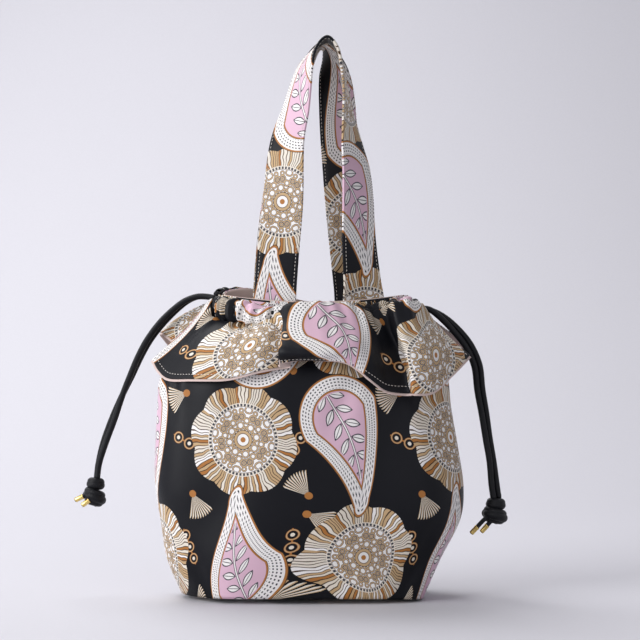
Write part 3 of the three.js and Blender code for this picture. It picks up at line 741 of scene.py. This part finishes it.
# Flat size of a body panel, and where the panels and the base are cut from the printed cloth
PANEL_CUTS = {"front": (36, 14), "back": (140, 90)}
BASE_CUT = (200, 120)
BASE_INSET = 0.2
PANEL_THICK = 0.0007
for face_name, side in (("front", -1), ("back", 1)):
    turn = side * np.linspace(math.pi, 0, PANEL_COLUMNS + 1)
    if side > 0:
        turn = turn[::-1]
    points = body_wall(turn, 0)
    girth, rise = along_length(points[WALL_ROWS // 3]), along_length(points[:, PANEL_COLUMNS // 2])
    bm = bmesh.new()
    lay_grid(bm, points, flat_cut(girth, rise, PANEL_CUTS[face_name]))
    panel = make_piece(f"outer_{face_name}_cloth", bm, printed_cotton)
    give_thickness(panel, PANEL_THICK)
    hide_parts(f"outer_{face_name}")

base = base_floor(body_wall(np.linspace(0, 2 * math.pi, 2 * PANEL_COLUMNS + 1), BASE_INSET))
bm = bmesh.new()
lay_grid(bm, base, base[..., :2] + BASE_CUT)
floor_panel = make_piece("outer_base_cloth", bm, printed_cotton)
give_thickness(floor_panel, PANEL_THICK)
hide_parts("outer_base")


# Lining bag: plain dusty-pink cotton, cut to the same shape a little smaller. It hangs inside the body,
# sewn in at the neck and loose below.

# Plain lining cotton: matt and pale, with a painted highlight: the tops of its threads are painted a slightly
# lighter tone. The threads are about
# 0.3 mm apart on the real cloth, too fine to show, so the weave is drawn 0.9 mm apart.
lining_cotton, tree, shader = new_material("plain_lining_cotton")
LINING_WEAVE = 0.0009
cloth = node(tree, "UVMap")
weave = plain_weave(tree, cloth, LINING_WEAVE, 2.0)
# Painted highlight: lighter where warp and weft both lie on top.
tone = node(tree, "MixRGB", {0: weave, 1: linear("#d0b9b3"), 2: linear("#e4d3cc")})
raised = node(tree, "Bump", {"Strength": 0.3, "Distance": 0.0003, "Height": weave})
tree.links.new(tone.outputs[0], shader.inputs["Base Color"])
tree.links.new(raised.outputs[0], shader.inputs["Normal"])
shader.inputs["Roughness"].default_value = 0.8

LINING_INSET = 1.8
LINING_THICK = 0.0005
GIRTH_ROW = 40
wall = body_wall(np.linspace(0, 2 * math.pi, PANEL_COLUMNS + 1), LINING_INSET)
points = np.concatenate([base_floor(wall)[:-1], wall])
bm = bmesh.new()
girth, rise = along_length(wall[GIRTH_ROW]), along_length(points[:, PANEL_COLUMNS // 4])
lay_grid(bm, points, flat_cut(girth, rise, (0, 0)))
lining = make_piece("lining_bag_cloth", bm, lining_cotton)
give_thickness(lining, LINING_THICK)
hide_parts("lining_bag")


# Collars: a front and a back panel, printed cotton backed with the lining, gathered into the neck seam.
# They fall outside over the shoulder; their short ends and lower edges are hemmed and topstitched.
COLLAR_FLAT = (335, 88)
COLLAR_OFFSET = 3.8
COLLAR_SWEEP = 84
COLLAR_COLUMNS = 320
COLLAR_ROWS = 90
# The collar stands up inside the casing for a share of its height, from its foot to the top of the neck
NECK_TOP = 271
COLLAR_FOOT = 252
NECK_SHARE = 0.18
# One row for each column of the net, left to right: shoulder, upper drop, lower drop, hem
FRONT_NET = [
    ((-90, -10.5, 267), (-109, -11, 243), (-125, -15, 228), (-141, -18, 213)),
    ((-91, -17, 258), (-106, -18, 240), (-121, -22, 222), (-135, -26, 203.5)),
    ((-89, -21, 250), (-101, -25, 237), (-115, -32, 218), (-126, -36, 197.3)),
    ((-80, -24, 246), (-90, -35, 235), (-100, -45, 216), (-106, -50, 197)),
    ((-72, -27, 244), (-75, -43, 235), (-83, -55, 216), (-88.4, -59, 197)),
    ((-64, -30, 243), (-61, -48, 236), (-68, -61, 217), (-73.3, -65, 198)),
    ((-55, -33, 243), (-49, -51, 238), (-54, -65, 220), (-58, -69, 201.2)),
    ((-45, -36, 246), (-37, -51, 240), (-39, -65, 223), (-41, -69, 205.2)),
    ((-33, -41, 251), (-27, -46, 241), (-20, -59, 226), (-19, -66, 209.2)),
    ((-25, -47, 260), (-24, -60, 246), (-28, -80, 224), (-28.5, -76, 210)),
    ((-10, -49, 264), (-9, -63, 246), (-10, -86, 221.5), (-9, -76, 213.7)),
    ((4, -49, 265), (7, -64, 246), (8, -86, 221.5), (10, -77, 213.7)),
    ((18, -48, 264.5), (25, -62, 246), (26, -84, 224), (27.5, -78, 212)),
    ((31, -46, 263.5), (38, -58, 245), (40, -79, 224), (40, -76, 206.3)),
    ((43, -42, 261), (50, -53, 244), (53, -70, 219), (52.7, -72, 196.3)),
    ((54, -36, 256), (60, -42, 240), (65, -57, 213), (66, -66, 187.4)),
    ((63, -35, 260), (70, -37, 239), (80, -49, 214), (84, -60, 184.9)),
    ((71, -38, 264), (75, -48, 245), (84, -69, 216), (89, -71, 184.9)),
    ((82, -36, 266), (88, -46, 246), (100, -67, 216), (103, -67, 185.4)),
    ((91, -30, 266), (97, -39, 246), (109, -58, 218), (113.4, -59, 190.2)),
    ((97, -23, 264), (104, -29, 247), (117, -43, 223), (123.8, -45, 200)),
    ((100, -17, 261), (108, -20, 247), (122, -29, 228), (133.6, -31, 209.5)),
    ((102, -12, 258), (111, -13, 247), (126, -17, 231), (141.7, -20, 217.3)),
]
BACK_NET = [
    ((-91, -2.5, 261), (-101, -3.5, 250), (-113, -6, 239), (-121, -8, 228)),
    ((-95, 10, 262), (-109, 13, 257), (-124, 16, 248), (-137, 18, 237)),
    ((-71, 25, 248), (-84, 40, 234), (-95, 54, 216), (-103, 58, 197)),
    ((-50, 32, 248), (-57, 46, 236), (-64, 61, 218), (-68, 66, 198)),
    ((-25, 37, 248), (-27, 56, 241), (-28, 75, 224), (-29, 77, 204)),
    ((2, 39, 248), (3, 53, 240), (3, 71, 222), (3, 74, 203)),
    ((29, 37, 248), (30, 56, 241), (33, 75, 225), (35, 77, 206)),
    ((54, 32, 248), (58, 46, 236), (66, 61, 217), (71, 66, 197)),
    ((74, 25, 248), (84, 39, 236), (96, 55, 215), (104, 58, 196)),
    ((92, 19, 252), (104, 24, 241), (118, 33, 225), (129, 37, 208)),
    ((101, 10, 257), (113, 11, 247), (127, 14, 237), (140, 17, 227)),
]
# How far each column first dips under the casing before it stands up as a fold in front of it
FRONT_DIP = [0] * 7 + [0.3, 0.6] + [1] * 6 + [0.8, 0.9] + [1] * 3 + [0.8, 0.4, 0]
BACK_DIP = [0] * len(BACK_NET)
DIP_LEVEL = 243
DIP_OFFSET = 13.5
# Gathers at the neck fade out down the collar and towards its short ends; the hem ripples a little
COLLAR_PLEATS = 21
COLLAR_PLEAT_DEEP = 2.2
COLLAR_PLEAT_FROM, COLLAR_PLEAT_FADE = 0.4, 5.5
SHORT_END_FADE = 14
RIPPLES = 6.3
RIPPLE_DEEP = 0.8


def neck_ring(bearing, offset, level):
    """Points round the oval neck at one level."""
    return np.stack([*neck_oval(bearing, offset), np.full(len(bearing), float(level))], axis=1)


def collar_grid(net, dips, side, inset, longer):
    """Collar surface from the hem up to the neck top; inset moves it in, longer lets the hem down."""
    net = np.array(net, float)
    fall = net[:, 3] - net[:, 2]
    net[:, 3] += fall / np.linalg.norm(fall, axis=1)[:, None] * longer
    across = np.linspace(0, 1, COLLAR_COLUMNS + 1)
    bearing = side * (90 + COLLAR_SWEEP - 2 * COLLAR_SWEEP * np.linspace(0, 1, len(net)))
    dips = np.array(dips, float)[:, None]
    seam = neck_sag(neck_ring(bearing, COLLAR_OFFSET, COLLAR_FOOT))
    top = neck_sag(neck_ring(bearing, COLLAR_OFFSET, NECK_TOP))
    under = neck_ring(bearing, DIP_OFFSET, DIP_LEVEL) * dips + (seam + net[:, 0]) / 2 * (1 - dips)
    columns = np.concatenate([seam[None], under[None], net.transpose(1, 0, 2)])
    down = np.linspace(0, 1, COLLAR_ROWS + 1)
    neck = down < NECK_SHARE
    flare = run_through(columns, (down[~neck] - NECK_SHARE) / (1 - NECK_SHARE))
    share = (down[neck] / NECK_SHARE)[:, None, None]
    straight = top[None] * (1 - share) + seam[None] * share
    columns = np.concatenate([straight, flare]).transpose(1, 0, 2)
    points = run_through(columns, across).transpose(1, 0, 2)[::side]
    down = down[::side]
    faded = np.exp(-np.maximum(down - COLLAR_PLEAT_FROM, 0) * COLLAR_PLEAT_FADE)
    faded *= np.clip(down / NECK_SHARE - 1, 0, 1)
    pleat = COLLAR_PLEAT_DEEP * gathers(across, COLLAR_PLEATS, 0.17)
    pleat *= np.clip(np.minimum(across, 1 - across) * SHORT_END_FADE, 0, 1)
    ripple = RIPPLE_DEEP * np.sin(2 * math.pi * (RIPPLES * across + 0.2))[None, :] * down[:, None] ** 2
    lift = pleat[None, :] * faded[:, None] + ripple - inset
    points = points + outward(points) * lift[..., None]
    steps = np.linalg.norm(np.diff(points[::-side], axis=0), axis=2)
    rise = np.concatenate([np.zeros((1, len(across))), np.cumsum(steps, axis=0)])[::-side]
    skin = np.stack(np.broadcast_arrays(COLLAR_FLAT[0] * across[None, :], rise), axis=2)
    return points, skin, down


# Cotton sewing thread: matt off-white, mottled by its twist.
thread_cotton, tree, shader = new_material("cotton_thread")
THREAD_TWIST = 0.0007
place = node(tree, "TexCoord")
twist = node(tree, "TexNoise", {"Vector": place.outputs["Object"], "Scale": 1 / THREAD_TWIST})
tone = node(tree, "MixRGB", {0: twist, 1: linear("#cfc8c0"), 2: linear("#efe9e2")})
tree.links.new(tone.outputs[0], shader.inputs["Base Color"])
shader.inputs["Roughness"].default_value = 0.7
STITCH_PITCH, STITCH_LONG, STITCH_WIDE = 3.3, 2.3, 0.55
STITCH_INSET, STITCH_PROUD = 2.6, 0.12


def sew(bm, line, normal):
    """A row of stitches along a line on the cloth; each is a short thread lying on it."""
    gone = along_length(line)
    for start in np.arange(STITCH_PITCH, gone[-1] - STITCH_PITCH, STITCH_PITCH):
        at = [np.array([np.interp(start + step, gone, line[:, k]) for k in range(3)]) for step in (-1, 0, 1)]
        out = np.array([np.interp(start, gone, normal[:, k]) for k in range(3)])
        way = Vector(at[2] - at[0]).normalized()
        out = Vector(out - np.array(way) * out.dot(way)).normalized()
        size = Matrix.Diagonal((STITCH_LONG / 2 * MM, STITCH_WIDE / 2 * MM, STITCH_WIDE / 2 * MM, 1))
        turn = Matrix((way, out.cross(way), out)).transposed().to_4x4()
        spot = Matrix.Translation((Vector(at[1]) + out * STITCH_PROUD) * MM)
        bmesh.ops.create_icosphere(bm, subdivisions=1, radius=1, matrix=spot @ turn @ size)


# Where the collars are cut from the printed cloth
COLLAR_CUTS = {"front": (60, 128), "back": (60, 20)}
COLLAR_THICK = 0.0006
END_STITCH_COLUMN = 3
# The backing lies inside the print, shows below its hem, and starts a share of the way down the collar
BACKING_INSET, BACKING_LONGER = 1.2, 2.0
BACKING_TOPS = {"front": 0.5, "back": 0.2}
for face_name, net, dips, side in (("front", FRONT_NET, FRONT_DIP, -1), ("back", BACK_NET, BACK_DIP, 1)):
    points, skin, down = collar_grid(net, dips, side, 0, 0)
    bm = bmesh.new()
    lay_grid(bm, points, skin + COLLAR_CUTS[face_name])
    collar = make_piece(f"collar_{face_name}_cloth", bm, printed_cotton)
    give_thickness(collar, COLLAR_THICK)
    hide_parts(f"collar_{face_name}")
    normal = outward(points)
    hem_row = np.argmin(np.abs(skin[:, COLLAR_COLUMNS // 2, 1] - STITCH_INSET))
    free = down > 2 * NECK_SHARE
    bm = bmesh.new()
    sew(bm, points[hem_row], normal[hem_row])
    for column in (END_STITCH_COLUMN, COLLAR_COLUMNS - END_STITCH_COLUMN):
        sew(bm, points[free, column], normal[free, column])
    stitches = make_piece(f"collar_{face_name}_stitches", bm, thread_cotton)
    points, skin, down = collar_grid(net, dips, side, BACKING_INSET, BACKING_LONGER)
    shown = down > BACKING_TOPS[face_name]
    bm = bmesh.new()
    lay_grid(bm, points[shown], skin[shown])
    backing = make_piece(f"collar_{face_name}_backing", bm, lining_cotton)
    give_thickness(backing, LINING_THICK)
    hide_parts(f"collar_{face_name}_lining")


# Casings: strips of the printed cotton sewn as tubes round the front and the back of the neck, gathered
# tightly on the cords, with a hemmed mouth at each end.
CASING_MIDDLE = 260.5
CASING_HALF_TALL = 10.6
CASING_HALF_THICK = 4.8
CASING_SWEEP = 70
CASING_COLUMNS = 360
CASING_SIDES = 48
CASING_FLAT = (0.24, 0.05)
CASING_SQUARENESS = 2.5
MOUTH_STITCH_COLUMN = 12
# Puffs between the gathers: count, depth and sharpness, with finer creases on them; all calm at the mouths
PUFFS, PUFF_DEEP, PUFF_SHARP = 15, 2.6, 0.7
CREASES, CREASE_DEEP = 31, 1.2
PUFF_RISE, CASING_WAVES = 1.6, 9
MOUTH_FADE = 12
# The gathers slant to and fro round the tube, and are shallow on its top and bottom
SLANT, SLANT_WAVES = 0.012, 9
EDGE_BULGE = 0.35
for face_name, side in (("front", -1), ("back", 1)):
    across = np.linspace(0, 1, CASING_COLUMNS + 1)[:, None]
    turn = np.linspace(-math.pi / 2, 1.5 * math.pi, CASING_SIDES + 1)[None, :]
    calm = np.clip(np.minimum(across, 1 - across) * MOUTH_FADE, 0, 1)
    skew = across + SLANT * np.sin(turn + SLANT_WAVES * across)
    puff = gathers(skew, PUFFS, 0.61)
    deep = np.sign(puff) * np.abs(puff) ** PUFF_SHARP * PUFF_DEEP + CREASE_DEEP * gathers(skew, CREASES, 0.3)
    bulge = EDGE_BULGE + (1 - EDGE_BULGE) * np.abs(np.cos(turn))
    out = (CASING_HALF_THICK + deep * calm * bulge) * rounded(np.cos(turn), CASING_SQUARENESS)
    tall = CASING_HALF_TALL + PUFF_RISE * gathers(skew, PUFFS, 0.8) * calm
    level = CASING_MIDDLE + tall * rounded(np.sin(turn), CASING_SQUARENESS)
    level = level + gathers(across, CASING_WAVES, 0.2) * calm
    bearing = side * (90 + CASING_SWEEP - 2 * CASING_SWEEP * across)
    x, y = neck_oval(bearing, CASING_OFFSET + out)
    points = neck_sag(np.stack(np.broadcast_arrays(x, y, level), axis=2))[::side]
    # The casing is cut so that its print runs on from the collar's
    wide = COLLAR_FLAT[0] * (0.5 + (across[::side, 0] - 0.5) * CASING_SWEEP / COLLAR_SWEEP)
    tall = CASING_FLAT[1] / MM * (turn[0] + math.pi / 2) / (2 * math.pi)
    around = COLLAR_FLAT[1] * (1 - NECK_SHARE) + tall
    skin = np.stack(np.broadcast_arrays(wide[:, None], around[None, :]), axis=2) + COLLAR_CUTS[face_name]
    bm = bmesh.new()
    lay_grid(bm, points, skin)
    casing = make_piece(f"casing_{face_name}_cloth", bm, printed_cotton)
    give_thickness(casing, COLLAR_THICK)
    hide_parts(f"casing_{face_name}")
    normal = outward(points)
    bm = bmesh.new()
    for column in (MOUTH_STITCH_COLUMN, CASING_COLUMNS - MOUTH_STITCH_COLUMN):
        sew(bm, points[column], normal[column])
    stitches = make_piece(f"casing_{face_name}_stitches", bm, thread_cotton)


# Handles: two straps of the printed cotton folded over a firm interlining, 38 mm wide, topstitched along
# both edges, their ends sewn in behind the casings. They stand up and lean together at the top.
STRAP_HALF_WIDTH = 19
STRAP_HALF_THICK = 1.5
STRAP_STEPS = 280
STRAP_SIDES = 56
# Rounded edges of the folded strap, and the grooves that the stitches pull into it
WIDTH_SQUARENESS, THICK_SQUARENESS = 7, 5
GROOVE_DEEP, GROOVE_HALF_WIDE = 0.35, 0.9
STITCH_SUNK = 0.3
# Middle of the strap and turn of its width, from one end to the other
FRONT_HANDLE = [
    (-33, -15.5, 238, -9), (-32, -16.5, 269, -9), (-29, -18, 310, -12), (-25, -20, 352, -19),
    (-21.6, -20, 403, -36), (-13.5, -20, 436, -50), (-5.4, -20, 472, -67), (4.5, -20, 490.5, -84),
    (15, -20, 498, -90), (24, -20, 488, -91), (28, -20, 471, -93), (31.5, -20, 449, -98),
    (34, -20, 425.7, -108), (37, -20, 403, -120), (40.5, -20, 381, -130), (42, -19, 356, -136),
    (43, -17.5, 318, -142), (46, -15.5, 281, -152), (47, -14.5, 266, -165), (48, -13, 238, -167),
]
BACK_HANDLE = [
    (-35, 15.5, 238, 9), (-34, 16.5, 269, 9), (-31.5, 19, 310, 16), (-28, 21, 352, 28),
    (-22, 21, 400, 44), (-15, 21, 440, 58), (-6, 21, 472, 72), (-1, 21, 485, 80),
    (6, 21, 496, 88), (12, 21, 497, 96), (17, 21, 488, 112), (20.5, 21, 472, 134),
    (23, 21, 452, 146), (25, 21, 422, 152), (28, 21, 390, 158), (31, 20, 356, 162),
    (35, 18, 318, 166), (39, 16, 281, 168), (40, 15, 266, 169), (41, 13.5, 238, 169),
]
# Where the straps are cut from the printed cloth
HANDLE_CUTS = {"front": (150, 40), "back": (60, 30)}
for face_name, stations in (("front", FRONT_HANDLE), ("back", BACK_HANDLE)):
    row = run_through(stations, np.linspace(0, 1, STRAP_STEPS + 1))
    middle, twist = row[:, :3], np.radians(row[:, 3])
    tangent = np.gradient(middle, axis=0)
    tangent /= np.linalg.norm(tangent, axis=1)[:, None]
    width = np.stack([np.cos(twist), np.sin(twist), 0 * twist], axis=1)
    width -= tangent * (width * tangent).sum(axis=1)[:, None]
    width /= np.linalg.norm(width, axis=1)[:, None]
    face = np.cross(tangent, width)
    turn = np.linspace(0, 2 * math.pi, STRAP_SIDES + 1)
    wide = STRAP_HALF_WIDTH * rounded(np.cos(turn), WIDTH_SQUARENESS)
    from_stitches = np.abs(wide) - (STRAP_HALF_WIDTH - STITCH_INSET)
    groove = GROOVE_DEEP * np.exp(-((from_stitches / GROOVE_HALF_WIDE) ** 2))
    thick = (STRAP_HALF_THICK - groove) * rounded(np.sin(turn), THICK_SQUARENESS)
    points = middle[:, None] + wide[None, :, None] * width[:, None] + thick[None, :, None] * face[:, None]
    gone = along_length(middle)
    fold = np.where(np.sin(turn) < 0, wide, 2 * STRAP_HALF_WIDTH - wide)
    bm = bmesh.new()
    lay_grid(bm, points, flat_cut(fold, gone, HANDLE_CUTS[face_name]))
    handle = make_piece(f"handle_{face_name}_strap", bm, printed_cotton, closed=True)
    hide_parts(f"handle_{face_name}")
    bm = bmesh.new()
    for edge in (-1, 1):
        for out in (-1, 1):
            line = middle + width * edge * (STRAP_HALF_WIDTH - STITCH_INSET)
            sew(bm, line + face * out * (STRAP_HALF_THICK - STITCH_SUNK), face * out)
    stitches = make_piece(f"handle_{face_name}_stitches", bm, thread_cotton)


# Stage: a sweep of pale lavender-grey paper, which is floor and backdrop in one. It lies flat under the
# bag, bends up well behind it and then stands upright.

# Sweep paper: quite matt, with a faint fibre.
sweep_paper, tree, shader = new_material("sweep_paper")
FIBRES_A_METRE = 300.0
place = node(tree, "TexCoord")
grain = node(tree, "TexNoise", {"Vector": place.outputs["Object"], "Scale": FIBRES_A_METRE, "Detail": 2.0})
tone = node(tree, "MixRGB", {0: grain, 1: linear("#cdccd3"), 2: linear("#d2d1d8")})
tree.links.new(tone.outputs[0], shader.inputs["Base Color"])
shader.inputs["Roughness"].default_value = 0.9
SWEEP_FRONT, SWEEP_FLAT, SWEEP_BEND, SWEEP_TALL, SWEEP_HALF_WIDTH = -1900, 700, 1400, 2600, 1700
BEND_STEPS = 40
SWEEP_STRIPS = 8
bm = bmesh.new()
angle = np.linspace(0, math.pi / 2, BEND_STEPS)
curve = np.stack([SWEEP_FLAT + SWEEP_BEND * np.sin(angle), SWEEP_BEND * (1 - np.cos(angle))], axis=1)
profile = np.vstack([[(SWEEP_FRONT, 0)], curve, [(SWEEP_FLAT + SWEEP_BEND, SWEEP_TALL)]])
across = np.linspace(-SWEEP_HALF_WIDTH, SWEEP_HALF_WIDTH, SWEEP_STRIPS + 1)
points = np.stack(np.broadcast_arrays(across[None, :], profile[:, :1], profile[:, 1:]), axis=2)
lay_grid(bm, points, points[..., :2])
mesh = bpy.data.meshes.new("sweep")
bm.to_mesh(mesh)
bm.free()
mesh.materials.append(sweep_paper)
sweep = bpy.data.objects.new("sweep", mesh)
bpy.context.scene.collection.objects.link(sweep)

# Light: a big soft window in front on the left, a skylight above and behind, a weak fill in front on the
# right, and an even room. A pale grey like the lit paper's shows where the room itself is seen or mirrored.

# Each lamp: name, place, what it faces, size, watts
for name, spot, aim, size, watts in (
    ("window", (-2.4, -1.3, 1.0), (0, 0, 0.3), 2.0, 81),
    ("skylight", (-0.6, 0.75, 1.9), (0, 0, 0.1), 1.5, 32),
    ("fill", (1.2, -2.2, 0.9), (0, 0, 0.25), 1.6, 6),
):
    lamp = bpy.data.lights.new(name, "AREA")
    lamp.size = size
    lamp.energy = watts
    light = bpy.data.objects.new(name, lamp)
    light.location = spot
    light.rotation_euler = (Vector(aim) - Vector(spot)).to_track_quat("-Z", "Y").to_euler()
    bpy.context.scene.collection.objects.link(light)
world = bpy.data.worlds.new("room")
bpy.context.scene.world = world
world.use_nodes = True
tree = world.node_tree
tree.nodes.clear()
rays = node(tree, "LightPath").outputs
room = node(tree, "Background", {"Color": linear("#f1f0f5"), "Strength": 0.3})
seen = node(tree, "Background", {"Color": linear("#dddce3"), "Strength": 1.0})
direct = node(tree, "Math", {0: rays["Is Camera Ray"], 1: rays["Is Glossy Ray"]}, operation="ADD")
direct = node(tree, "Math", {0: direct, 1: rays["Is Transmission Ray"]}, operation="ADD")
view = node(tree, "MixShader", {0: direct, 1: room, 2: seen})
node(tree, "OutputWorld", {"Surface": view})
bpy.context.scene.view_settings.view_transform = "Standard"
